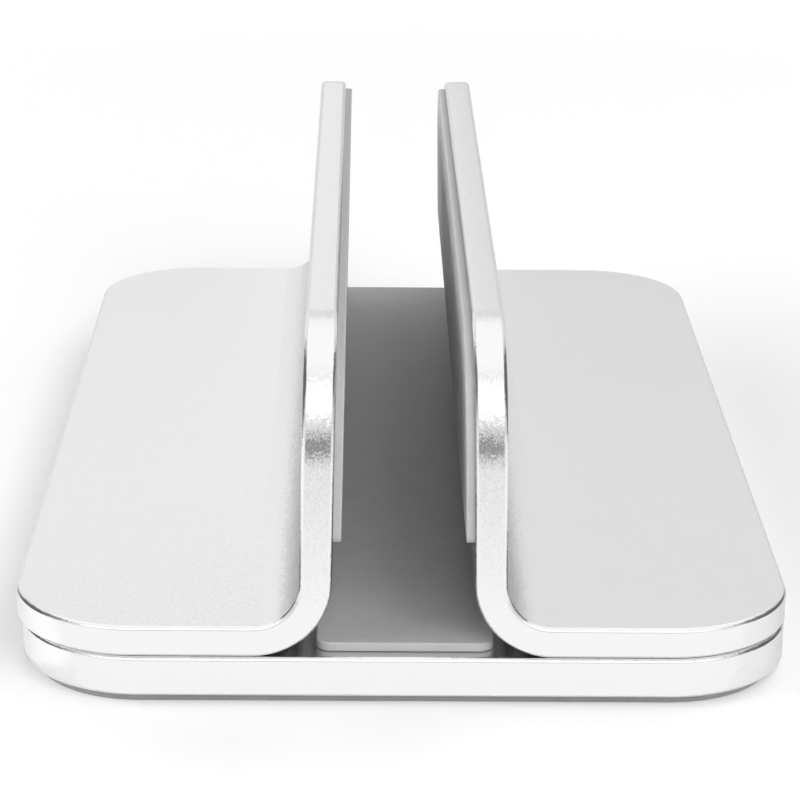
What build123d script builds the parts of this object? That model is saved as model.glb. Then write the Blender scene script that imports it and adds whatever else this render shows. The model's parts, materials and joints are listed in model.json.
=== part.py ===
from build123d import *
import os
from math import acos, cos, radians, sin

# Adjustable vertical laptop stand, in millimetres.
# X runs across the slot, Y from the front edge to the back edge, Z up from the table.
# The origin is on the table, under the middle of the base plate.

# Base plate
BASE_WIDTH = 120.0
STAND_DEPTH = 200.0
BASE_THICKNESS = 6.5
CORNER_RADIUS = 19.5
EDGE_CHAMFER = 0.5

# Bent brackets
SHEET_THICKNESS = 5.0
BEND_INNER_RADIUS = 7.0
FOOT_REACH = 49.7
WALL_HEIGHT = 44.6
WALL_LEAN = 1.0

# How far each bracket slides, and how far it is drawn out from its innermost setting
BRACKET_TRAVEL = 10.0
LEFT_DRAWN_OUT = 3.25
RIGHT_DRAWN_OUT = 2.5

# Silicone sheet glued under the base, on the base between the walls and on the walls
SOLE_THICKNESS = 1.5
SOLE_INSET = 2.0
FLOOR_PAD_THICKNESS = 1.5
FLOOR_PAD_WIDTH = 27.2
FLOOR_PAD_INSET = 2.5
FLOOR_PAD_CORNER = 2.4
FLOOR_PAD_STOP_GAP = 0.5
SIDE_PAD_THICKNESS = 1.25
SIDE_PAD_INSET = 1.4
SIDE_PAD_ABOVE_BEND = 6.1
SIDE_PAD_LOWER_CORNER = 1.5

# Clamp screws, low-head socket screws with plain washers
SCREW_DIAMETER = 4.0
HEAD_DIAMETER = 7.0
HEAD_HEIGHT = 2.8
HEAD_CHAMFER = 0.3
HEX_ACROSS_FLATS = 2.5
HEX_DEPTH = 1.6
TIP_CHAMFER = 0.5
WASHER_RIM = 1.0
WASHER_CLEARANCE = 0.15
WASHER_THICKNESS = 0.8
WASHER_CHAMFER = 0.2
SCREW_SPACING = 120.0
SCREW_FROM_WALL = 25.0

# Clamp slots in the base and tapped holes in the feet
HEAD_RECESS = 0.2
SLOT_CLEARANCE = 0.25
TRACK_CLEARANCE = 0.3
SOLE_CUTOUT_MARGIN = 0.7
FOOT_SKIN = 0.6
THREAD_CLEARANCE = 0.05
THREAD_RUNOUT = 0.2

# Levels, from the table up
base_bottom = SOLE_THICKNESS
base_top = base_bottom + BASE_THICKNESS
foot_top = base_top + SHEET_THICKNESS
ledge_bottom = base_bottom + HEAD_RECESS + HEAD_HEIGHT + WASHER_THICKNESS
screw_tip = foot_top - FOOT_SKIN - THREAD_RUNOUT

# The bend runs from the foot's underside up to the wall's slot face
bend_outer_radius = BEND_INNER_RADIUS + SHEET_THICKNESS
lean = radians(WALL_LEAN)
wall_direction = Vector(-sin(lean), 0, cos(lean))
wall_facing = Vector(-cos(lean), 0, -sin(lean))

# Innermost setting: at the floor pad's top edge the bend stops just short of the pad
pad_edge_angle = acos(1 - FLOOR_PAD_THICKNESS / bend_outer_radius)
bend_overhang = bend_outer_radius * (cos(lean) - sin(pad_edge_angle))
innermost_wall = FLOOR_PAD_WIDTH / 2 + FLOOR_PAD_STOP_GAP - bend_overhang
screw_rows = (("front", -SCREW_SPACING / 2), ("rear", SCREW_SPACING / 2))
slot_centre = innermost_wall + BRACKET_TRAVEL / 2 + SCREW_FROM_WALL

# The washer is wider than the head, and the track in the base is wider than the washer
washer_diameter = HEAD_DIAMETER + 2 * WASHER_RIM
slot_width = SCREW_DIAMETER + 2 * SLOT_CLEARANCE
track_width = washer_diameter + 2 * TRACK_CLEARANCE


def clamp_slots(width, height, bottom):
    """Four slots across the base, each as long as the brackets' travel, rising from the given level."""
    with BuildPart() as slots:
        with BuildSketch(Plane.XY.offset(bottom)):
            with GridLocations(2 * slot_centre, SCREW_SPACING, 2, 2):
                SlotCenterToCenter(BRACKET_TRAVEL, width)
        extrude(amount=height)
    return slots.part


def base_plate():
    """Flat plate with chamfered edges, through slots for the screws and wider tracks for their heads."""
    with BuildPart() as plate:
        with BuildSketch(Plane.XY.offset(base_bottom)):
            RectangleRounded(BASE_WIDTH, STAND_DEPTH, CORNER_RADIUS)
        extrude(amount=BASE_THICKNESS)
        outline = plate.faces().sort_by(Axis.Z)
        chamfer(outline[0].edges() + outline[-1].edges(), EDGE_CHAMFER)
    plate_body = plate.part - clamp_slots(slot_width, BASE_THICKNESS, base_bottom)
    return plate_body - clamp_slots(track_width, ledge_bottom - base_bottom, base_bottom)


def sole_pad():
    """Silicone sheet under the base, open below the screws so that a key reaches them."""
    with BuildPart() as sheet:
        with BuildSketch():
            RectangleRounded(
                BASE_WIDTH - 2 * SOLE_INSET,
                STAND_DEPTH - 2 * SOLE_INSET,
                CORNER_RADIUS - SOLE_INSET,
            )
        extrude(amount=SOLE_THICKNESS)
    return sheet.part - clamp_slots(track_width + 2 * SOLE_CUTOUT_MARGIN, SOLE_THICKNESS, 0)


def floor_pad():
    """Silicone strip along the slot that the laptop's edge stands on."""
    with BuildPart() as strip:
        with BuildSketch(Plane.XY.offset(base_top)):
            RectangleRounded(FLOOR_PAD_WIDTH, STAND_DEPTH - 2 * FLOOR_PAD_INSET, FLOOR_PAD_CORNER)
        extrude(amount=FLOOR_PAD_THICKNESS)
    return strip.part


class Bracket:
    """Right-hand bracket with what it carries; wall_x is where its slot face leaves the bend."""

    def __init__(self, drawn_out):
        self.wall_x = innermost_wall + drawn_out
        self.foot_end = self.wall_x + FOOT_REACH
        self.screw_x = self.wall_x + SCREW_FROM_WALL
        bend_centre = Vector(self.wall_x + bend_outer_radius * cos(lean), 0, base_top + bend_outer_radius)
        bend_end = bend_centre + wall_facing * bend_outer_radius
        self.wall_foot = bend_end + wall_direction * ((base_top - bend_end.Z) / cos(lean))
        self.wall_length = (foot_top + WALL_HEIGHT - bend_end.Z) / cos(lean)
        self.wall_top = bend_end + wall_direction * self.wall_length

    def sheet(self):
        """Sheet bent up into a wall, with round corners, chamfered edges and blind tapped holes."""
        with BuildPart() as bent:
            with BuildSketch(Plane.XZ.offset(-STAND_DEPTH / 2)):
                with BuildLine():
                    underside = FilletPolyline(
                        (self.foot_end, base_top),
                        (self.wall_foot.X, self.wall_foot.Z),
                        (self.wall_top.X, self.wall_top.Z),
                        radius=bend_outer_radius,
                    )
                    offset(underside, amount=SHEET_THICKNESS, side=Side.RIGHT)
                make_face()
            extrude(amount=STAND_DEPTH)
            foot_corners = bent.edges().filter_by(Axis.Z).group_by(Axis.X)[-1]
            across_wall = Axis(self.wall_top, wall_facing)
            wall_corners = bent.edges().filter_by(across_wall).group_by(Axis.Z)[-1]
            fillet(foot_corners + wall_corners, CORNER_RADIUS)
            across_sheet = bent.edges().filter_by(Axis.Z) + bent.edges().filter_by(across_wall)
            bend_lines = bent.faces().filter_by(GeomType.CYLINDER).edges().filter_by(Axis.Y)
            chamfer(bent.edges() - across_sheet - bend_lines, EDGE_CHAMFER)
            with Locations(Plane.XY.offset(base_top)):
                with Locations(*[(self.screw_x, y) for _, y in screw_rows]):
                    Cylinder(
                        SCREW_DIAMETER / 2 + THREAD_CLEARANCE,
                        SHEET_THICKNESS - FOOT_SKIN,
                        align=(Align.CENTER, Align.CENTER, Align.MIN),
                        mode=Mode.SUBTRACT,
                    )
        return bent.part

    def side_pad(self):
        """Silicone sheet on the wall's slot face, following the wall's outline a little way in."""
        pad_depth = STAND_DEPTH - 2 * SIDE_PAD_INSET
        pad_height = self.wall_length - SIDE_PAD_ABOVE_BEND - SIDE_PAD_INSET
        pad_top = self.wall_top - wall_direction * SIDE_PAD_INSET
        face = Plane(origin=pad_top, x_dir=(0, -1, 0), z_dir=wall_facing)
        with BuildPart() as pad:
            with BuildSketch(face) as outline:
                Rectangle(pad_depth, pad_height, align=(Align.CENTER, Align.MAX))
                upper = outline.vertices().group_by(Axis.Y)[-1]
                fillet(upper, CORNER_RADIUS - SIDE_PAD_INSET)
                lower = outline.vertices().group_by(Axis.Y)[0]
                fillet(lower, SIDE_PAD_LOWER_CORNER)
            extrude(amount=SIDE_PAD_THICKNESS)
        return pad.part


def clamp_screw(x, y):
    """Low-head socket screw, pushed up through its washer and the slot into the foot."""
    head_top = ledge_bottom - WASHER_THICKNESS
    with BuildPart() as screw:
        with BuildSketch(Plane.XY.offset(head_top)):
            Circle(HEAD_DIAMETER / 2)
        extrude(amount=-HEAD_HEIGHT)
        chamfer(screw.edges().sort_by(Axis.Z)[0], HEAD_CHAMFER)
        with BuildSketch(Plane.XY.offset(head_top)):
            Circle(SCREW_DIAMETER / 2)
        extrude(amount=screw_tip - head_top)
        chamfer(screw.edges().sort_by(Axis.Z)[-1], TIP_CHAMFER)
        with BuildSketch(Plane.XY.offset(head_top - HEAD_HEIGHT)):
            RegularPolygon(HEX_ACROSS_FLATS / 2, 6, major_radius=False)
        extrude(amount=HEX_DEPTH, mode=Mode.SUBTRACT)
    return Pos(x, y) * screw.part


def washer(x, y):
    """Plain washer between the screw head and the ledge of the slot."""
    with BuildPart() as ring:
        with BuildSketch(Plane.XY.offset(ledge_bottom)):
            Circle(washer_diameter / 2)
            Circle(SCREW_DIAMETER / 2 + WASHER_CLEARANCE, mode=Mode.SUBTRACT)
        extrude(amount=-WASHER_THICKNESS)
        rim = ring.edges().filter_by(GeomType.CIRCLE).group_by(SortBy.RADIUS)[-1]
        chamfer(rim.sort_by(Axis.Z)[0], WASHER_CHAMFER)
    return Pos(x, y) * ring.part


pieces = {
    "base_plate": base_plate(),
    "sole_pad": sole_pad(),
    "floor_pad": floor_pad(),
}

for side, direction, drawn_out in (("left", -1, LEFT_DRAWN_OUT), ("right", 1, RIGHT_DRAWN_OUT)):
    bracket = Bracket(drawn_out)
    formed = {"bracket": bracket.sheet(), "side_pad": bracket.side_pad()}
    for name, piece in formed.items():
        pieces[f"{side}_{name}"] = piece if direction > 0 else mirror(piece, about=Plane.YZ)
    for row, y in screw_rows:
        pieces[f"{side}_{row}_clamp_screw"] = clamp_screw(direction * bracket.screw_x, y)
        pieces[f"{side}_{row}_washer"] = washer(direction * bracket.screw_x, y)

os.makedirs("parts", exist_ok=True)
for name, piece in pieces.items():
    piece.label = name
    export_step(piece, f"parts/{name}.step")
    box = piece.bounding_box()
    print(f"{name}: {len(piece.solids())} solid, {piece.volume:.1f} mm3, {box.min} to {box.max}")
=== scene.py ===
# %% [markdown]
# # A vertical laptop stand
# The stand holds a closed laptop upright between two bent aluminium walls. Each wall is one sheet with
# its own foot, and the foot slides on a flat base plate until two screws under the base clamp it.
# Grey silicone lines the slot, so that no metal touches the laptop.
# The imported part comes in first, as a fixed frame in metres: X across the slot, Y from the front edge
# to the back edge, Z up from the table. Every piece below is modelled in that same frame.

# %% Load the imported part
import json
from math import cos, pi, radians, sin

import bmesh
import bpy
from mathutils import Matrix, Vector


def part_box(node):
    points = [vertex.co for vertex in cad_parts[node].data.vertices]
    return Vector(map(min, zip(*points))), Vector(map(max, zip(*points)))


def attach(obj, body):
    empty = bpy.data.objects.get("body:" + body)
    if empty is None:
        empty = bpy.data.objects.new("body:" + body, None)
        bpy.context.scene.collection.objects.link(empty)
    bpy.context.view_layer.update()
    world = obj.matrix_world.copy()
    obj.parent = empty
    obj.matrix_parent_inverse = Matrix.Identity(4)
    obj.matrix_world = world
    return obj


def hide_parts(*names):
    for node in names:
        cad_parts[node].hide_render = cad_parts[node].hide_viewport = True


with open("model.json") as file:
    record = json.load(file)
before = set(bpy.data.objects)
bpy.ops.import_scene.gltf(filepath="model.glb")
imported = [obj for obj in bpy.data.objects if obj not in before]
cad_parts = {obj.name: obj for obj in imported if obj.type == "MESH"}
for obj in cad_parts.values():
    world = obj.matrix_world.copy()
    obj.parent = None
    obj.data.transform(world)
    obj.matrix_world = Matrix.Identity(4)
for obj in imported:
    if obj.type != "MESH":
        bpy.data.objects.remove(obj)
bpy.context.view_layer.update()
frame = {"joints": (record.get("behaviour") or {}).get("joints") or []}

MM = 0.001


def in_mm(lengths):
    """Lengths in metres as rounded millimetres, to print."""
    return [round(x / MM, 2) for x in lengths]


# %% [markdown]
# ## Helpers for modelling by hand
# An operator acts on all that is selected, so each piece starts with nothing selected. A primitive is
# added at its size and place, its place is applied to its mesh, and it opens in edit mode.
# Faces and edges are picked by a test on their place or direction, which keeps working when a size
# changes, while a list of numbers would not.

# %% Helpers for modelling by hand
TINY = 1e-6
# The least cosine of the angle between two lines that count as parallel, and two that face one way.
PARALLEL = 0.999
FACING = 0.9
SHARP_ABOVE = radians(30)


def deselect_all():
    """Leave nothing selected, in object mode."""
    if bpy.context.mode != "OBJECT":
        bpy.ops.object.mode_set(mode="OBJECT")
    bpy.ops.object.select_all(action="DESELECT")


def choose(piece):
    """Select this piece alone, and make it the active one."""
    deselect_all()
    bpy.context.view_layer.objects.active = piece
    piece.select_set(True)


def open_whole():
    """Open the active piece in edit mode, with its whole mesh selected."""
    bpy.ops.object.mode_set(mode="EDIT")
    bpy.ops.mesh.select_all(action="SELECT")


def open_piece(name):
    """Name the new primitive, apply its place to its mesh and open it in edit mode."""
    piece = bpy.context.object
    piece.name = piece.data.name = name
    bpy.ops.object.transform_apply(location=True, rotation=True, scale=True)
    bpy.ops.object.mode_set(mode="EDIT")
    return piece


def add_block(name, low, high):
    """A block from its lowest to its highest corner, open in edit mode."""
    deselect_all()
    bpy.ops.mesh.primitive_cube_add(size=1, location=(low + high) / 2, scale=high - low)
    return open_piece(name)


def add_rod(name, radius, low, high, x=0.0, y=0.0, sides=64):
    """An upright cylinder between two levels, open in edit mode."""
    deselect_all()
    bpy.ops.mesh.primitive_cylinder_add(
        vertices=sides, radius=radius, depth=high - low, location=(x, y, (low + high) / 2)
    )
    return open_piece(name)


def pick(kind, test):
    """In edit mode, select the VERT, EDGE or FACE items that pass the test, and count them."""
    bpy.ops.mesh.select_mode(type=kind)
    bpy.ops.mesh.select_all(action="DESELECT")
    shape = bmesh.from_edit_mesh(bpy.context.object.data)
    items = {"VERT": shape.verts, "EDGE": shape.edges, "FACE": shape.faces}[kind]
    chosen = [item for item in items if test(item)]
    for item in chosen:
        item.select_set(True)
    shape.select_flush_mode()
    bmesh.update_edit_mesh(bpy.context.object.data)
    return len(chosen)


def along(edge, direction):
    """True for an edge that runs along the given direction."""
    run = edge.verts[1].co - edge.verts[0].co
    return abs(run.normalized().dot(direction)) > PARALLEL


def points(face, direction):
    """True for a face that looks in the given direction."""
    return face.normal.dot(direction) > FACING


def cut(piece, cutter):
    """Take the cutter's shape out of the piece, and delete the cutter."""
    choose(piece)
    modifier = piece.modifiers.new("cut", "BOOLEAN")
    modifier.operation = "DIFFERENCE"
    modifier.solver = "EXACT"
    modifier.object = cutter
    bpy.ops.object.modifier_apply(modifier=modifier.name)
    bpy.data.objects.remove(cutter)


def settle(piece, body, node):
    """Close the mesh, smooth its curves, keep its flat faces flat, and hang it on its body."""
    choose(piece)
    open_whole()
    bpy.ops.mesh.remove_doubles(threshold=TINY)
    bpy.ops.mesh.normals_make_consistent(inside=False)
    bpy.ops.mesh.select_mode(type="EDGE")
    bpy.ops.mesh.select_all(action="DESELECT")
    bpy.ops.mesh.select_non_manifold()
    bpy.ops.object.mode_set(mode="OBJECT")
    open_edges = sum(edge.select for edge in piece.data.edges)
    bpy.ops.object.shade_smooth_by_angle(angle=SHARP_ABOVE)
    weighted = piece.modifiers.new("flat faces stay flat", "WEIGHTED_NORMAL")
    weighted.keep_sharp = True
    bpy.ops.object.modifier_apply(modifier=weighted.name)
    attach(piece, body)
    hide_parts(node)
    faces = len(piece.data.polygons)
    print(f"{piece.name}: {in_mm(piece.dimensions)} mm, {faces} faces, {open_edges} open edges")


# %% [markdown]
# ## Colours and nodes
# Colours are written as sRGB hex values, as a paint chart gives them, and one function turns them to
# the linear values that the shaders work in. One more function adds a node with its settings, its
# numbers and its links, so that each material below reads from top to bottom.

# %% Colours and nodes
# A mix node has sockets for every kind of data. These are the places of the ones for colour.
MIX_FACTOR, MIX_FIRST, MIX_SECOND = 0, 6, 7
MIXED = 2


def linear(hex_colour):
    """sRGB hex to linear RGBA."""
    parts = [int(hex_colour[i : i + 2], 16) / 255 for i in (1, 3, 5)]
    return [c / 12.92 if c <= 0.04045 else ((c + 0.055) / 1.055) ** 2.4 for c in parts] + [1.0]


def add_node(tree, kind, inputs=(), **settings):
    """Add a node; inputs are pairs of a socket and the number, colour or output that goes into it."""
    node = tree.nodes.new(kind)
    for name, value in settings.items():
        setattr(node, name, value)
    for socket, value in inputs:
        if isinstance(value, bpy.types.NodeSocket):
            tree.links.new(value, node.inputs[socket])
        else:
            node.inputs[socket].default_value = value
    return node


def new_material(name):
    """A new material and its node tree, which is still empty."""
    material = bpy.data.materials.new(name)
    material.use_nodes = True
    material.node_tree.nodes.clear()
    return material, material.node_tree


print("mid grey #808080 is linear", round(linear("#808080")[0], 3))

# %% [markdown]
# ## Bead-blasted, clear anodised aluminium
# The sheets are rounded at their edges, blasted with fine glass beads and anodised. Each bead leaves a
# shallow dimple, so the metal is satin: a soft reflection that breaks up into fine sparkle where a light
# part of the room meets a dark one. A Voronoi pattern stands for the dimples. Each of its cells has a
# colour of its own, and that colour tips the surface by a few degrees all over the cell.
# Polished metal mirrors more light, the flatter the view along it. Blasted metal does so less, because
# its dimples shade each other there. The shader's specular tint is the colour of that glancing
# reflection, and a light grey in it takes some of the light away.

# %% Bead-blasted, clear anodised aluminium
# Fine beads leave dimples of about 0.1 mm. They are drawn wider than that, so that they show.
BEAD_DIMPLE = 0.18 * MM
DIMPLE_TILT = 0.13
HAZE_PATCH = 18 * MM

blasted, tree = new_material("aluminium_bead_blasted_clear_anodised")
place = add_node(tree, "ShaderNodeTexCoord").outputs["Object"]
dimples = add_node(tree, "ShaderNodeTexVoronoi", [("Vector", place), ("Scale", 1 / BEAD_DIMPLE)])
tilt = add_node(
    tree,
    "ShaderNodeVectorMath",
    [(0, dimples.outputs["Color"]), (1, [DIMPLE_TILT] * 3), (2, [-DIMPLE_TILT / 2] * 3)],
    operation="MULTIPLY_ADD",
)
flat = add_node(tree, "ShaderNodeNewGeometry").outputs["Normal"]
tipped = add_node(tree, "ShaderNodeVectorMath", [(0, flat), (1, tilt.outputs[0])], operation="ADD")
facing = add_node(tree, "ShaderNodeVectorMath", [(0, tipped.outputs[0])], operation="NORMALIZE")
haze = add_node(
    tree,
    "ShaderNodeTexNoise",
    [("Vector", place), ("Scale", 1 / HAZE_PATCH), ("Detail", 3.0)],
)
roughness = add_node(
    tree,
    "ShaderNodeMapRange",
    [
        ("Value", haze.outputs["Fac"]),
        ("From Min", 0.3),
        ("From Max", 0.7),
        ("To Min", 0.2),
        ("To Max", 0.23),
    ],
)
tone = add_node(
    tree,
    "ShaderNodeMix",
    [(MIX_FACTOR, haze.outputs["Fac"]), (MIX_FIRST, linear("#ebebec")), (MIX_SECOND, linear("#eeeeef"))],
    data_type="RGBA",
)
surface = add_node(
    tree,
    "ShaderNodeBsdfPrincipled",
    [
        ("Base Color", tone.outputs[MIXED]),
        ("Metallic", 1.0),
        ("Specular Tint", linear("#e0e0e1")),
        ("Roughness", roughness.outputs["Result"]),
        ("Normal", facing.outputs[0]),
    ],
)
add_node(tree, "ShaderNodeOutputMaterial", [("Surface", surface.outputs["BSDF"])])
print(blasted.name, "with dimples of", BEAD_DIMPLE / MM, "mm")

# %% [markdown]
# ## Grey silicone sheet
# The linings are die-cut from matt silicone sheet. Silicone is a soft dielectric with a low index of
# refraction: it scatters most of the light, and shows a dull, broad sheen where one looks along it. Its
# rolled surface has a fine tooth that picks up a little dust. The sheet under the base is given a darker
# grey than the ones in the slot, as painted shade for the shadow under the base's overhang, so one
# function makes both.

# %% Grey silicone sheet
SHEET_TOOTH = 0.3 * MM
TOOTH_HEIGHT = 0.02 * MM
DUST_SPACING = 3.5 * MM
DUST_FROM, DUST_TO = 0.35, 0.7


def silicone_sheet(name, clean, dusty):
    """Matt silicone between two shades of grey."""
    material, tree = new_material(name)
    place = add_node(tree, "ShaderNodeTexCoord").outputs["Object"]
    tooth = add_node(
        tree,
        "ShaderNodeTexNoise",
        [("Vector", place), ("Scale", 1 / SHEET_TOOTH), ("Detail", 3.0)],
    )
    dust = add_node(
        tree,
        "ShaderNodeTexNoise",
        [("Vector", place), ("Scale", 1 / DUST_SPACING), ("Detail", 5.0), ("Roughness", 0.7)],
    )
    shade = add_node(tree, "ShaderNodeValToRGB", [("Fac", dust.outputs["Fac"])])
    first, last = shade.color_ramp.elements
    first.position, last.position = DUST_FROM, DUST_TO
    first.color, last.color = linear(clean), linear(dusty)
    roughness = add_node(
        tree,
        "ShaderNodeMapRange",
        [("Value", tooth.outputs["Fac"]), ("To Min", 0.48), ("To Max", 0.6)],
    )
    relief = add_node(
        tree,
        "ShaderNodeBump",
        [("Height", tooth.outputs["Fac"]), ("Distance", TOOTH_HEIGHT), ("Strength", 1.0)],
    )
    surface = add_node(
        tree,
        "ShaderNodeBsdfPrincipled",
        [
            ("Base Color", shade.outputs["Color"]),
            ("IOR", 1.42),
            ("Roughness", roughness.outputs["Result"]),
            ("Normal", relief.outputs["Normal"]),
        ],
    )
    add_node(tree, "ShaderNodeOutputMaterial", [("Surface", surface.outputs["BSDF"])])
    return material


silicone = silicone_sheet("silicone_sheet_matt_grey", "#adadae", "#b3b3b4")
# The darker grey of the sheet under the base is painted shade, for the shadow under the base's overhang.
sole_silicone_painted_shade = silicone_sheet("silicone_sheet_matt_grey_painted_shade", "#8c8c8d", "#949495")
print(silicone.name, "and", sole_silicone_painted_shade.name, "with a tooth of", SHEET_TOOTH / MM, "mm")

# %% [markdown]
# ## Screw and washer steel
# The clamp screws are turned from stainless bar, which leaves rings round their axis. The washers are
# stamped from zinc-plated strip, which is a little bluer, and cloudy from the plating bath.

# %% Screw and washer steel
# Turning leaves rings about 0.1 mm apart. They are drawn wider than that, so that they show.
RING_SPACING = 0.754 * MM
PLATING_CLOUD = 1.2 * MM
# At a scale of 1, the wave texture turns by this many radians for each metre.
WAVE_TURN = 20

turned, tree = new_material("stainless_steel_turned")
place = add_node(tree, "ShaderNodeTexCoord").outputs["Object"]
rings = add_node(
    tree,
    "ShaderNodeTexWave",
    [("Vector", place), ("Scale", 2 * pi / (WAVE_TURN * RING_SPACING)), ("Distortion", 0.6)],
    bands_direction="Z",
)
roughness = add_node(
    tree,
    "ShaderNodeMapRange",
    [("Value", rings.outputs["Fac"]), ("To Min", 0.22), ("To Max", 0.34)],
)
surface = add_node(
    tree,
    "ShaderNodeBsdfPrincipled",
    [("Base Color", linear("#cfcdc9")), ("Metallic", 1.0), ("Roughness", roughness.outputs["Result"])],
)
add_node(tree, "ShaderNodeOutputMaterial", [("Surface", surface.outputs["BSDF"])])

plated, tree = new_material("steel_zinc_plated_stamped")
place = add_node(tree, "ShaderNodeTexCoord").outputs["Object"]
cloud = add_node(
    tree,
    "ShaderNodeTexNoise",
    [("Vector", place), ("Scale", 1 / PLATING_CLOUD), ("Detail", 4.0)],
)
tone = add_node(
    tree,
    "ShaderNodeMix",
    [(MIX_FACTOR, cloud.outputs["Fac"]), (MIX_FIRST, linear("#bfc3c8")), (MIX_SECOND, linear("#d3d6d8"))],
    data_type="RGBA",
)
roughness = add_node(
    tree,
    "ShaderNodeMapRange",
    [("Value", cloud.outputs["Fac"]), ("To Min", 0.25), ("To Max", 0.45)],
)
surface = add_node(
    tree,
    "ShaderNodeBsdfPrincipled",
    [("Base Color", tone.outputs[MIXED]), ("Metallic", 1.0), ("Roughness", roughness.outputs["Result"])],
)
add_node(tree, "ShaderNodeOutputMaterial", [("Surface", surface.outputs["BSDF"])])
print(turned.name, "and", plated.name)

# %% [markdown]
# ## Clamp slots
# Under the base, each screw head runs in a wide track, and its shank in a narrower slot through the
# plate. A round-ended slot could be drawn as an outline, but by hand it is quicker to add a cylinder and
# pull its two halves apart by the travel. The four slots are cut at once, so the cutter is doubled twice.
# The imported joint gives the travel, and the screw's box gives the place.

# %% Clamp slots
SLOT_WIDTH = 4.5 * MM
TRACK_WIDTH = 9.6 * MM

slide = next(joint for joint in frame["joints"] if joint["name"] == "right_slide")
inward, outward = slide["range_m"]
travel = outward - inward
screw_low, screw_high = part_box("right_rear_clamp_screw")
screw_at = (screw_low + screw_high) / 2
slot_at = Vector((screw_at.x + (inward + outward) / 2, screw_at.y, 0))


def slot_cutters(width, low, high):
    """Round-ended cutters for the four slots, between two levels."""
    cutter = add_rod("slot_cutters", width / 2, low, high)
    for side in (-1, 1):
        pick("VERT", lambda v: v.co.x * side > TINY)
        bpy.ops.transform.translate(value=(side * travel / 2, 0, 0))
    bpy.ops.mesh.select_all(action="SELECT")
    bpy.ops.transform.translate(value=-slot_at)
    for step in (Vector((2 * slot_at.x, 0, 0)), Vector((0, 2 * slot_at.y, 0))):
        bpy.ops.mesh.select_all(action="SELECT")
        bpy.ops.mesh.duplicate_move(TRANSFORM_OT_translate={"value": step})
    return cutter


print("slot middle at", in_mm(slot_at), "mm, travel", round(travel / MM, 2), "mm")

# %% [markdown]
# ## Base plate
# The base is a flat plate with round corners and a small rounding all round, top and bottom. A block is
# rounded at its four upright edges. Only its top and bottom rims are then still sharp, so Select Sharp
# Edges finds them for the second bevel. The rim is not quite round: before the blasting it was cut at 45
# degrees, and its profile lies between that flat and a full round.

# %% Base plate
CORNER_RADIUS = 19.5 * MM
CORNER_STEPS = 40
RIM_SHARPNESS = radians(60)
EDGE_BREAK = 0.68 * MM
EDGE_STEPS = 6
# A bevel with a profile of 0.25 is flat, and one of 0.5 is round.
EDGE_PROFILE = 0.36
UP = Vector((0, 0, 1))


def break_rim():
    """Break every edge that is still sharp."""
    bpy.ops.mesh.select_mode(type="EDGE")
    bpy.ops.mesh.select_all(action="DESELECT")
    bpy.ops.mesh.edges_select_sharp(sharpness=RIM_SHARPNESS)
    bpy.ops.mesh.bevel(offset=EDGE_BREAK, segments=EDGE_STEPS, profile=EDGE_PROFILE, affect="EDGES")


plate_low, plate_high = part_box("base_plate")
ledge_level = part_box("right_rear_washer")[1].z
plate = add_block("plate", plate_low, plate_high)
plate.data.materials.append(blasted)
pick("EDGE", lambda e: along(e, UP))
bpy.ops.mesh.bevel(offset=CORNER_RADIUS, segments=CORNER_STEPS, affect="EDGES")
break_rim()
cut(plate, slot_cutters(TRACK_WIDTH, plate_low.z - MM, ledge_level))
cut(plate, slot_cutters(SLOT_WIDTH, plate_low.z - MM, plate_high.z + MM))
settle(plate, "base", "base_plate")

# %% [markdown]
# ## Bent brackets
# Each bracket is one 5 mm sheet, bent up from its foot into a wall that leans in by a degree. On a press
# brake the sheet is laid flat and bent, and the model follows that: a block for the foot, its inner end
# face spun round the bend line, and the new end face pulled up along the wall. Spinning keeps the
# sheet's thickness the same all through the bend. The corners of foot and wall are rounded next, and at
# last the small rounding runs along every rim and through the bend.

# %% Bent brackets
SHEET = 5.0 * MM
BEND_OUTER_RADIUS = 12.0 * MM
BEND_STEPS = 32
FOOT_REACH = 49.7 * MM
WALL_HEIGHT = 44.6 * MM
WALL_LEAN = radians(1.0)
TAPPED_RADIUS = 2.05 * MM
FOOT_SKIN = 0.6 * MM
ACROSS = Vector((1, 0, 0))

right_low, right_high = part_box("right_bracket")
foot_low, foot_high = right_low.z, right_low.z + SHEET
wall_x = right_high.x - FOOT_REACH
bend_centre = Vector((wall_x + BEND_OUTER_RADIUS * cos(WALL_LEAN), 0, foot_low + BEND_OUTER_RADIUS))
wall_up = Vector((-sin(WALL_LEAN), 0, cos(WALL_LEAN)))
wall_out = Vector((cos(WALL_LEAN), 0, sin(WALL_LEAN)))
bend_end = bend_centre - wall_out * BEND_OUTER_RADIUS
wall_length = (foot_high + WALL_HEIGHT - bend_end.z) / cos(WALL_LEAN)
wall_top = (bend_end + wall_up * wall_length).dot(wall_up)

right_sheet = add_block(
    "right_bent_sheet",
    Vector((bend_centre.x, right_low.y, foot_low)),
    Vector((right_high.x, right_high.y, foot_high)),
)
right_sheet.data.materials.append(blasted)
pick("FACE", lambda f: points(f, -ACROSS))
bpy.ops.mesh.spin(steps=BEND_STEPS, angle=pi / 2 - WALL_LEAN, center=bend_centre, axis=(0, -1, 0))
bpy.ops.mesh.extrude_region_move(TRANSFORM_OT_translate={"value": wall_up * wall_length})


def at_foot_end(edge):
    """True for the two upright edges at the outer end of the foot."""
    return along(edge, UP) and edge.verts[0].co.x > right_high.x - TINY


def at_wall_top(edge):
    """True for the two edges through the sheet at the top of the wall."""
    return along(edge, wall_out) and edge.verts[0].co.dot(wall_up) > wall_top - TINY


corners = pick("EDGE", lambda e: at_foot_end(e) or at_wall_top(e))
bpy.ops.mesh.bevel(offset=CORNER_RADIUS, segments=CORNER_STEPS, affect="EDGES")
break_rim()
print("rounded corners:", corners)

for y in (-screw_at.y, screw_at.y):
    hole = add_rod("tapped_hole", TAPPED_RADIUS, foot_low - MM, foot_high - FOOT_SKIN, screw_at.x, y)
    cut(right_sheet, hole)

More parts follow.
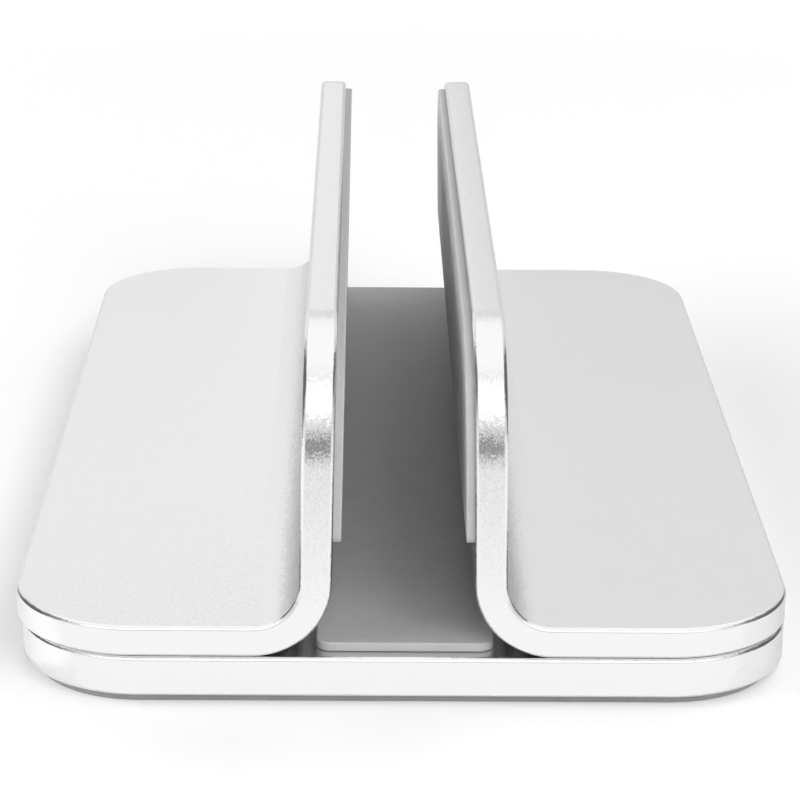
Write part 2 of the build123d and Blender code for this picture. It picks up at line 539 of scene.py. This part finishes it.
# %% [markdown]
# ## The left bracket
# The left bracket is a mirrored copy with a mesh of its own, drawn out a little further than the right.
# Scaling by minus one turns the faces inside out, and the normals are put right when the piece is settled.


# %% The left bracket
def own_copy(piece, name):
    """A copy with its own mesh, open in edit mode and selected all over."""
    choose(piece)
    bpy.ops.object.duplicate(linked=False)
    copy = bpy.context.object
    copy.name = copy.data.name = name
    open_whole()
    return copy


def mirrored_copy(piece, name, shift):
    """A copy that is mirrored across the slot and moved along X."""
    copy = own_copy(piece, name)
    bpy.ops.transform.resize(value=(-1, 1, 1), center_override=(0, 0, 0))
    bpy.ops.transform.translate(value=(shift, 0, 0))
    return copy


left_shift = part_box("left_bracket")[0].x + right_high.x
left_sheet = mirrored_copy(right_sheet, "left_bent_sheet", left_shift)
settle(right_sheet, "right_slider", "right_bracket")
settle(left_sheet, "left_slider", "left_bracket")

# %% [markdown]
# ## Silicone on the floor of the slot and under the base
# All the linings are die-cut from silicone sheet 1.25 or 1.5 mm thick: one strip on the base, one sheet
# on each wall, and one sheet under the base. Each is a block with its outline corners rounded and the
# edge of its open face eased, as a soft sheet's edge is. The strip's front end is in view down to the
# base, so its lower edge is eased too.

# %% Silicone on the floor of the slot and under the base
STRIP_CORNER = 2.4 * MM
STRIP_CORNER_STEPS = 16
EASED_EDGE = 0.3 * MM
EASE_STEPS = 5
SOLE_INSET = 2.0 * MM
SOLE_CUTOUT_WIDTH = 11.0 * MM


def ease(test):
    """Round off the rim of the faces that pass the test."""
    pick("FACE", test)
    bpy.ops.mesh.region_to_loop()
    bpy.ops.mesh.bevel(offset=EASED_EDGE, segments=EASE_STEPS, affect="EDGES")


strip = add_block("floor_strip", *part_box("floor_pad"))
strip.data.materials.append(silicone)
pick("EDGE", lambda e: along(e, UP))
bpy.ops.mesh.bevel(offset=STRIP_CORNER, segments=STRIP_CORNER_STEPS, affect="EDGES")
ease(lambda f: points(f, UP) or points(f, -UP))
settle(strip, "base", "floor_pad")

sole_low, sole_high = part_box("sole_pad")
sole = add_block("sole_sheet", sole_low, sole_high)
sole.data.materials.append(sole_silicone_painted_shade)
pick("EDGE", lambda e: along(e, UP))
bpy.ops.mesh.bevel(offset=CORNER_RADIUS - SOLE_INSET, segments=CORNER_STEPS, affect="EDGES")
ease(lambda f: points(f, -UP))
cut(sole, slot_cutters(SOLE_CUTOUT_WIDTH, sole_low.z - MM, sole_high.z + MM))
settle(sole, "base", "sole_pad")

# %% [markdown]
# ## Silicone on the walls
# The wall lining follows the wall's outline a little way in, with large corners at the top and small
# ones at the bottom, where it ends above the bend. It is drawn upright, which keeps its faces square to
# the axes while they are picked, and is then tipped by the wall's lean about the end of the bend.

# %% Silicone on the walls
LINING = 1.25 * MM
LINING_INSET = 1.4 * MM
LINING_ABOVE_BEND = 6.1 * MM
LINING_LOWER_CORNER = 1.5 * MM
LOWER_CORNER_STEPS = 8

lining_y = right_high.y - LINING_INSET
lining_low = bend_end.z + LINING_ABOVE_BEND
lining_high = bend_end.z + wall_length - LINING_INSET
right_lining = add_block(
    "right_wall_lining",
    Vector((wall_x - LINING, -lining_y, lining_low)),
    Vector((wall_x, lining_y, lining_high)),
)
right_lining.data.materials.append(silicone)
pick("EDGE", lambda e: along(e, ACROSS) and e.verts[0].co.z > lining_high - TINY)
bpy.ops.mesh.bevel(offset=CORNER_RADIUS - LINING_INSET, segments=CORNER_STEPS, affect="EDGES")
pick("EDGE", lambda e: along(e, ACROSS) and max(v.co.z for v in e.verts) < lining_low + TINY)
bpy.ops.mesh.bevel(offset=LINING_LOWER_CORNER, segments=LOWER_CORNER_STEPS, affect="EDGES")
ease(lambda f: points(f, -ACROSS))
bpy.ops.mesh.select_all(action="SELECT")
bpy.ops.transform.rotate(value=WALL_LEAN, orient_axis="Y", center_override=bend_end)
left_lining = mirrored_copy(right_lining, "left_wall_lining", left_shift)
settle(right_lining, "right_slider", "right_side_pad")
settle(left_lining, "left_slider", "left_side_pad")

# %% [markdown]
# ## Clamp screws
# A low-head socket screw goes up through each slot into the foot. The head is a short cylinder. Its upper
# face is inset to the shank, and the thread is pulled out of it in steps, in and out by half a pitch. A
# real thread is one helix, and rings of the same pitch look the same at this size. The hexagon for the
# key is cut into the head from below.

# %% Clamp screws
SCREW_SHANK = 4.0 * MM
HEAD_RADIUS = 3.5 * MM
HEAD_HEIGHT = 2.8 * MM
HEAD_SIDES = 48
HEAD_CHAMFER = 0.3 * MM
HEAD_CHAMFER_STEPS = 2
KEY_ACROSS_FLATS = 2.5 * MM
KEY_DEPTH = 1.6 * MM
PITCH = 0.7 * MM
THREAD_DEPTH = 0.38 * MM
TIP_CHAMFER = 0.5 * MM


def pull(rise, radius_from, radius_to):
    """Extrude the selected end face upwards and bring it to a new radius."""
    bpy.ops.mesh.extrude_region_move(TRANSFORM_OT_translate={"value": (0, 0, rise)})
    scale = radius_to / radius_from
    bpy.ops.transform.resize(value=(scale, scale, 1), center_override=(screw_at.x, screw_at.y, 0))


head_low = screw_low.z
head_high = head_low + HEAD_HEIGHT
screw = add_rod(
    "right_rear_screw", HEAD_RADIUS, head_low, head_high, screw_at.x, screw_at.y, sides=HEAD_SIDES
)
screw.data.materials.append(turned)
pick("EDGE", lambda e: max(v.co.z for v in e.verts) < head_low + TINY)
bpy.ops.mesh.bevel(offset=HEAD_CHAMFER, segments=HEAD_CHAMFER_STEPS, affect="EDGES")
pick("FACE", lambda f: points(f, UP))
bpy.ops.mesh.inset(thickness=HEAD_RADIUS - SCREW_SHANK / 2)
crest, root = SCREW_SHANK / 2, SCREW_SHANK / 2 - THREAD_DEPTH
turns = int((screw_high.z - TIP_CHAMFER - head_high) / PITCH)
plain = screw_high.z - TIP_CHAMFER - head_high - turns * PITCH
pull(plain, crest, crest)
for turn in range(turns):
    pull(PITCH / 2, crest, root)
    pull(PITCH / 2, root, crest)
pull(TIP_CHAMFER, crest, crest - TIP_CHAMFER)
key_radius = KEY_ACROSS_FLATS / 2 / cos(pi / 6)
key = add_rod("key_hole", key_radius, head_low - MM, head_low + KEY_DEPTH, screw_at.x, screw_at.y, sides=6)
cut(screw, key)
print("threads on the screw:", turns)

# %% [markdown]
# ## Washers
# A plain washer lies between each screw head and the ledge of its track, and spreads the clamping force.
# It could be a disc with a hole cut in it. Its section spun round the screw's axis gives the same ring
# with an even mesh, and the two lower corners of the section are eased first, as stamping leaves them.

# %% Washers
WASHER_RADIUS = 4.5 * MM
WASHER_BORE = 4.3 * MM
WASHER_EASE = 0.2 * MM
WASHER_EASE_STEPS = 3
WASHER_STEPS = 64

ring_low, ring_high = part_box("right_rear_washer")
ring_middle = (WASHER_RADIUS + WASHER_BORE / 2) / 2
deselect_all()
bpy.ops.mesh.primitive_plane_add(
    size=1,
    location=(screw_at.x + ring_middle, screw_at.y, (ring_low.z + ring_high.z) / 2),
    rotation=(pi / 2, 0, 0),
)
bpy.ops.transform.resize(value=(WASHER_RADIUS - WASHER_BORE / 2, 1, ring_high.z - ring_low.z))
washer = open_piece("right_rear_ring")
washer.data.materials.append(plated)
bpy.ops.mesh.delete(type="ONLY_FACE")
pick("VERT", lambda v: v.co.z < ring_low.z + TINY)
bpy.ops.mesh.bevel(offset=WASHER_EASE, segments=WASHER_EASE_STEPS, affect="VERTICES")
bpy.ops.mesh.select_all(action="SELECT")
bpy.ops.mesh.spin(steps=WASHER_STEPS, angle=2 * pi, center=(screw_at.x, screw_at.y, 0), axis=(0, 0, 1))
print("washer section spun in", WASHER_STEPS, "steps")

# %% [markdown]
# ## Four screws and four washers
# The screw and the washer at the right rear are the models. The other three of each are copies with
# their own meshes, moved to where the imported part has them, and the models are settled last.


# %% Four screws and four washers
def moved_copy(piece, name, step):
    """A copy that is moved to its own place."""
    copy = own_copy(piece, name)
    bpy.ops.transform.translate(value=step)
    return copy


for side in ("left", "right"):
    for row in ("front", "rear"):
        place_low, place_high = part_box(f"{side}_{row}_clamp_screw")
        step = (place_low + place_high) / 2 - screw_at
        for model, noun, node, slot in (
            (screw, "screw", "clamp_screw", "screw_steel"),
            (washer, "ring", "washer", "washer_steel"),
        ):
            name = f"{side}_{row}_{noun}"
            if name != model.name:
                settle(moved_copy(model, name, step), f"{side}_slider", f"{side}_{row}_{node}")
settle(screw, "right_slider", "right_rear_clamp_screw")
settle(washer, "right_slider", "right_rear_washer")

# %% [markdown]
# ## Camera
# The camera stands in front, a little to the left, and looks down by 18 degrees. Its place, its turn and
# its lens were fitted to the edges and corner arcs in the photograph. The three directions of the view
# are worked out from the angles, and they are the columns of the camera's matrix.

# %% Camera
FRAME_PIXELS = 800
SENSOR_WIDTH = 36.0
FOCAL_PIXELS = 2947.9
NEAREST, FARTHEST = 0.01, 50.0
PITCH_DOWN = radians(18.335)
YAW = radians(0.768)
ROLL = radians(-0.598)
CAMERA_AT = Vector((-6.73, -512.19, 185.95)) * MM

forward = Vector((sin(YAW) * cos(PITCH_DOWN), cos(YAW) * cos(PITCH_DOWN), -sin(PITCH_DOWN)))
level = Vector((cos(YAW), -sin(YAW), 0))
down = forward.cross(level)
rightward = cos(ROLL) * level + sin(ROLL) * down
downward = cos(ROLL) * down - sin(ROLL) * level
lens = bpy.data.cameras.new("camera")
lens.sensor_fit = "HORIZONTAL"
lens.sensor_width = SENSOR_WIDTH
lens.lens = FOCAL_PIXELS * SENSOR_WIDTH / FRAME_PIXELS
lens.clip_start, lens.clip_end = NEAREST, FARTHEST
camera = bpy.data.objects.new("camera", lens)
bpy.context.scene.collection.objects.link(camera)
columns = Matrix((rightward, -downward, -forward)).transposed()
camera.matrix_world = Matrix.Translation(CAMERA_AT) @ columns.to_4x4()
bpy.context.scene.camera = camera
print("lens of", round(lens.lens, 1), "mm")

# %% [markdown]
# ## Floor and room
# The stand was shot on white paper in a pale room. Matt silicone and paper show the light that falls on
# them, while bare metal shows only what it mirrors, so the two are set up apart.
# The camera and reflections see a plain white room. As a lamp, the room is brighter at the back, which
# leaves a soft shadow in front of the base. The paper takes that shadow as any paper does. Where it is
# seen, it adds a little light of its own, and more of it further away, where it runs out into plain white.

# %% Floor and room
FLOOR_HALF = 3.0
PAPER_GLOW = 0.055
FAR_GLOW = 0.5
GLOW_RISES_FROM, GLOW_RISES_TO = 0.4, 1.4
ROOM_FRONT = 0.38
ROOM_BACK = 1.5
ROOM_WHITE = 1.0
BRIGHT_SIDE = (0.15, 0.95, 0.0)

deselect_all()
bpy.ops.mesh.primitive_plane_add(size=2 * FLOOR_HALF, location=(0, 0, 0))
floor = bpy.context.object
floor.name = "floor"


def seen_directly(tree):
    """1 for rays from the camera, off a mirror or through glass, and 0 for the light on matt surfaces."""
    path = add_node(tree, "ShaderNodeLightPath")
    mirrored = add_node(
        tree,
        "ShaderNodeMath",
        [(0, path.outputs["Is Camera Ray"]), (1, path.outputs["Is Glossy Ray"])],
        operation="ADD",
    )
    return add_node(
        tree,
        "ShaderNodeMath",
        [(0, mirrored.outputs[0]), (1, path.outputs["Is Transmission Ray"])],
        operation="ADD",
        use_clamp=True,
    ).outputs[0]


paper, tree = new_material("white_paper")
spot = add_node(tree, "ShaderNodeTexCoord").outputs["Object"]
away = add_node(tree, "ShaderNodeVectorMath", [(0, spot)], operation="LENGTH")
own_light = add_node(
    tree,
    "ShaderNodeMapRange",
    [
        ("Value", away.outputs["Value"]),
        ("From Min", GLOW_RISES_FROM),
        ("From Max", GLOW_RISES_TO),
        ("To Min", PAPER_GLOW),
        ("To Max", FAR_GLOW),
    ],
)
glow_level = add_node(
    tree,
    "ShaderNodeMath",
    [(0, seen_directly(tree)), (1, own_light.outputs["Result"])],
    operation="MULTIPLY",
)
matt = add_node(tree, "ShaderNodeBsdfDiffuse", [("Color", linear("#f4f4f4"))])
glow = add_node(tree, "ShaderNodeEmission", [("Strength", glow_level.outputs[0])])
both = add_node(tree, "ShaderNodeAddShader", [(0, matt.outputs[0]), (1, glow.outputs[0])])
add_node(tree, "ShaderNodeOutputMaterial", [("Surface", both.outputs[0])])
floor.data.materials.append(paper)

world = bpy.data.worlds.new("studio")
bpy.context.scene.world = world
world.use_nodes = True
tree = world.node_tree
tree.nodes.clear()
way = add_node(tree, "ShaderNodeTexCoord").outputs["Generated"]
rearward = add_node(tree, "ShaderNodeVectorMath", [(0, way), (1, BRIGHT_SIDE)], operation="DOT_PRODUCT")
fill = add_node(
    tree,
    "ShaderNodeMapRange",
    [
        ("Value", rearward.outputs["Value"]),
        ("From Min", -1.0),
        ("To Min", ROOM_FRONT),
        ("To Max", ROOM_BACK),
    ],
)
room_level = add_node(
    tree,
    "ShaderNodeMapRange",
    [("Value", seen_directly(tree)), ("To Min", fill.outputs["Result"]), ("To Max", ROOM_WHITE)],
)
room = add_node(tree, "ShaderNodeBackground", [("Strength", room_level.outputs["Result"])])
add_node(tree, "ShaderNodeOutputWorld", [("Surface", room.outputs[0])])
print("paper floor of", 2 * FLOOR_HALF, "m in a white room")

# %% [markdown]
# ## Soft lights
# Four soft boxes light the silicone and the paper. None of them shines straight along the slot, so its
# floor stays dark in the middle and is lighter at both ends. A black flag hangs over the slot and the
# left half of the room, and keeps the light from above off the slot's floor and its right-hand lining.


# %% Soft lights
def soft_light(name, at, target, width, height, level):
    """A soft box whose face has the given level, where 1 is white; reflections do not see it."""
    lamp = bpy.data.lights.new(name, "AREA")
    lamp.shape = "RECTANGLE"
    lamp.size, lamp.size_y = width, height
    lamp.energy = level * pi * width * height
    box = bpy.data.objects.new(name, lamp)
    bpy.context.scene.collection.objects.link(box)
    box.location = at
    box.rotation_euler = (Vector(at) - Vector(target)).to_track_quat("Z", "Y").to_euler()
    box.visible_glossy = False


soft_light("front_light", (0.4, -1.0, 0.65), (0, -0.05, 0.03), width=1.0, height=0.7, level=4.2)
soft_light("side_light", (-1.15, -0.3, 0.48), (0, -0.03, 0.03), width=1.2, height=0.4, level=7.0)
soft_light("back_light", (-0.75, 1.05, 0.4), (0, 0.05, 0.03), width=1.1, height=0.5, level=2.7)
soft_light("top_light", (0, 0.4, 1.15), (0, 0.4, 0), width=2.4, height=1.8, level=0.55)


def sheet_through(name, corners):
    """A flat sheet through four corners, in order round its rim."""
    deselect_all()
    bpy.ops.mesh.primitive_plane_add(size=1)
    sheet = bpy.context.object
    sheet.name = name
    first, second, third, fourth = corners
    # A new plane keeps its vertices row by row, so the last two change places.
    for vertex, corner in zip(sheet.data.vertices, (first, second, fourth, third)):
        vertex.co = corner
    return sheet


def corners_of(reach, start, end):
    """Corners of a sheet that runs across the room; reach is a pair of X, start and end of Y and Z."""
    left, right = reach
    return [(left, *start), (right, *start), (right, *end), (left, *end)]


FLAG_REACH = (-0.94, 0.16)
FLAG_FRONT, FLAG_BACK = -0.8, 1.1
FLAG_HEIGHT = 0.9

flag_corners = corners_of(FLAG_REACH, (FLAG_FRONT, FLAG_HEIGHT), (FLAG_BACK, FLAG_HEIGHT))
flag = sheet_through("flag", flag_corners)
black, tree = new_material("black_cloth")
cloth = add_node(tree, "ShaderNodeBsdfDiffuse", [("Color", linear("#0a0a0a"))])
add_node(tree, "ShaderNodeOutputMaterial", [("Surface", cloth.outputs[0])])
flag.data.materials.append(black)
flag.visible_camera = flag.visible_glossy = False
print("four soft boxes and a flag")

# %% [markdown]
# ## Cards for the metal
# Bare metal in a plain white room would have no form. Cards round the stand give it some, and only
# reflections see them. Each card glows evenly, or fades from its first edge to its last:
# - two bright ones in front and above make the white on the wall's rounded corner
# - the camera's dark side of the room makes the grey patch under that white
# - one dark card at each side draws the dark lines along the rims; its front edge slants forward as it
#   rises, so that the lines reach round the front corners
# - pale backdrops give the tops of the feet their grey, the left one a little lighter, and fade towards
#   the horizon, which shades the bends
# - a narrow bright strip in the middle, where the two backdrops meet, keeps the tops of the walls light
# - pale sheets just above the paper stand in for it beside the stand, where it lies in the stand's own
#   shadow, and keep the low faces light

# %% Cards for the metal
SKY_REACH = (-1.2, 1.2)
SKY_HEIGHT = 1.15
PAPER_REACH = (-0.5, 0.5)
PAPER_GAP = 0.001
PAPER_SIDE = 0.3
PAPER_BACK = 0.2
NEAR_PAPER_END = (-0.14, PAPER_GAP)
FRONT_PAPER_END = (-0.45, 0.03)
CAMERA_SIDE_REACH = (-0.3, 0.13)
SIDE_NEAR, SIDE_FAR, SIDE_HEIGHT = 0.25, 1.0, 0.85
SIDE_FRONT_LOW, SIDE_FRONT_HIGH, SIDE_BACK = -0.06, -0.45, 0.25
BACKDROP_Y, BACKDROP_HALF = 1.4, 1.6
HORIZON_TOP, BACKDROP_TOP = 0.25, 0.8
STRIP_Y, STRIP_HALF = 1.39, 0.05
STRIP_LOW, STRIP_HIGH = 0.2, 0.6
RIGHT_SHARE = 0.86


def studio_card(name, first, last, corners):
    """A card that only reflections see, fading from the level of its first edge to that of its last."""
    cloth, tree = new_material(f"{name}_cloth")
    spot = add_node(tree, "ShaderNodeTexCoord").outputs["UV"]
    parted = add_node(tree, "ShaderNodeSeparateXYZ", [(0, spot)])
    fade = add_node(
        tree, "ShaderNodeMapRange", [("Value", parted.outputs["Y"]), ("To Min", first), ("To Max", last)]
    )
    glow = add_node(tree, "ShaderNodeEmission", [("Strength", fade.outputs["Result"])])
    add_node(tree, "ShaderNodeOutputMaterial", [("Surface", glow.outputs[0])])
    card = sheet_through(name, corners)
    card.data.materials.append(cloth)
    card.visible_camera = card.visible_diffuse = card.visible_shadow = False


near_paper_start = (plate_low.y, PAPER_GAP / 2)
studio_card("front_sky", 1.35, 1.35, corners_of(SKY_REACH, (-1.18, 0.6), (-0.62, 1.1)))
studio_card("top_sky", 1.14, 1.14, corners_of(SKY_REACH, (-0.5, SKY_HEIGHT), (1.3, SKY_HEIGHT)))
studio_card("near_paper", 1.07, 1.12, corners_of(PAPER_REACH, near_paper_start, NEAR_PAPER_END))
studio_card("front_paper", 1.08, 0.25, corners_of(PAPER_REACH, NEAR_PAPER_END, FRONT_PAPER_END))
studio_card("camera_side", 0.22, 0.22, corners_of(CAMERA_SIDE_REACH, FRONT_PAPER_END, (-0.9, 0.2)))
for side, direction, share in (("left", -1, 1.0), ("right", 1, RIGHT_SHARE)):
    near, far = direction * SIDE_NEAR, direction * SIDE_FAR
    slanted = [
        (near, SIDE_FRONT_LOW, 0),
        (far, SIDE_FRONT_HIGH, SIDE_HEIGHT),
        (far, SIDE_BACK, SIDE_HEIGHT),
        (near, SIDE_BACK, 0),
    ]
    studio_card(f"{side}_card", 0.12, 0.12, slanted)
    reach = (0, direction * BACKDROP_HALF)
    horizon = corners_of(reach, (BACKDROP_Y, 0), (BACKDROP_Y, HORIZON_TOP))
    studio_card(f"{side}_horizon", 0.7 * share, 1.16 * share, horizon)
    backdrop = corners_of(reach, (BACKDROP_Y, HORIZON_TOP), (BACKDROP_Y, BACKDROP_TOP))
    studio_card(f"{side}_backdrop", 1.16 * share, 1.13 * share, backdrop)
    reach = (0, direction * STRIP_HALF)
    middle = corners_of(reach, (STRIP_Y, STRIP_LOW), (STRIP_Y, STRIP_HIGH))
    studio_card(f"{side}_strip", 1.36 * share, 1.36 * share, middle)
paper_front, paper_back = (plate_low.y, PAPER_GAP), (PAPER_BACK, PAPER_GAP)
left_reach, right_reach = (plate_low.x - MM, -PAPER_SIDE), (plate_high.x + MM, PAPER_SIDE)
studio_card("left_paper", 1.2, 1.2, corners_of(left_reach, paper_front, paper_back))
studio_card("right_paper", 1.0, 1.0, corners_of(right_reach, paper_front, paper_back))
print("cards:", sum(item.name.endswith("_cloth") and item != black for item in bpy.data.materials))

# %% [markdown]
# ## View transform
# The render uses the Standard view transform.

# %% View transform
bpy.context.scene.view_settings.view_transform = "Standard"
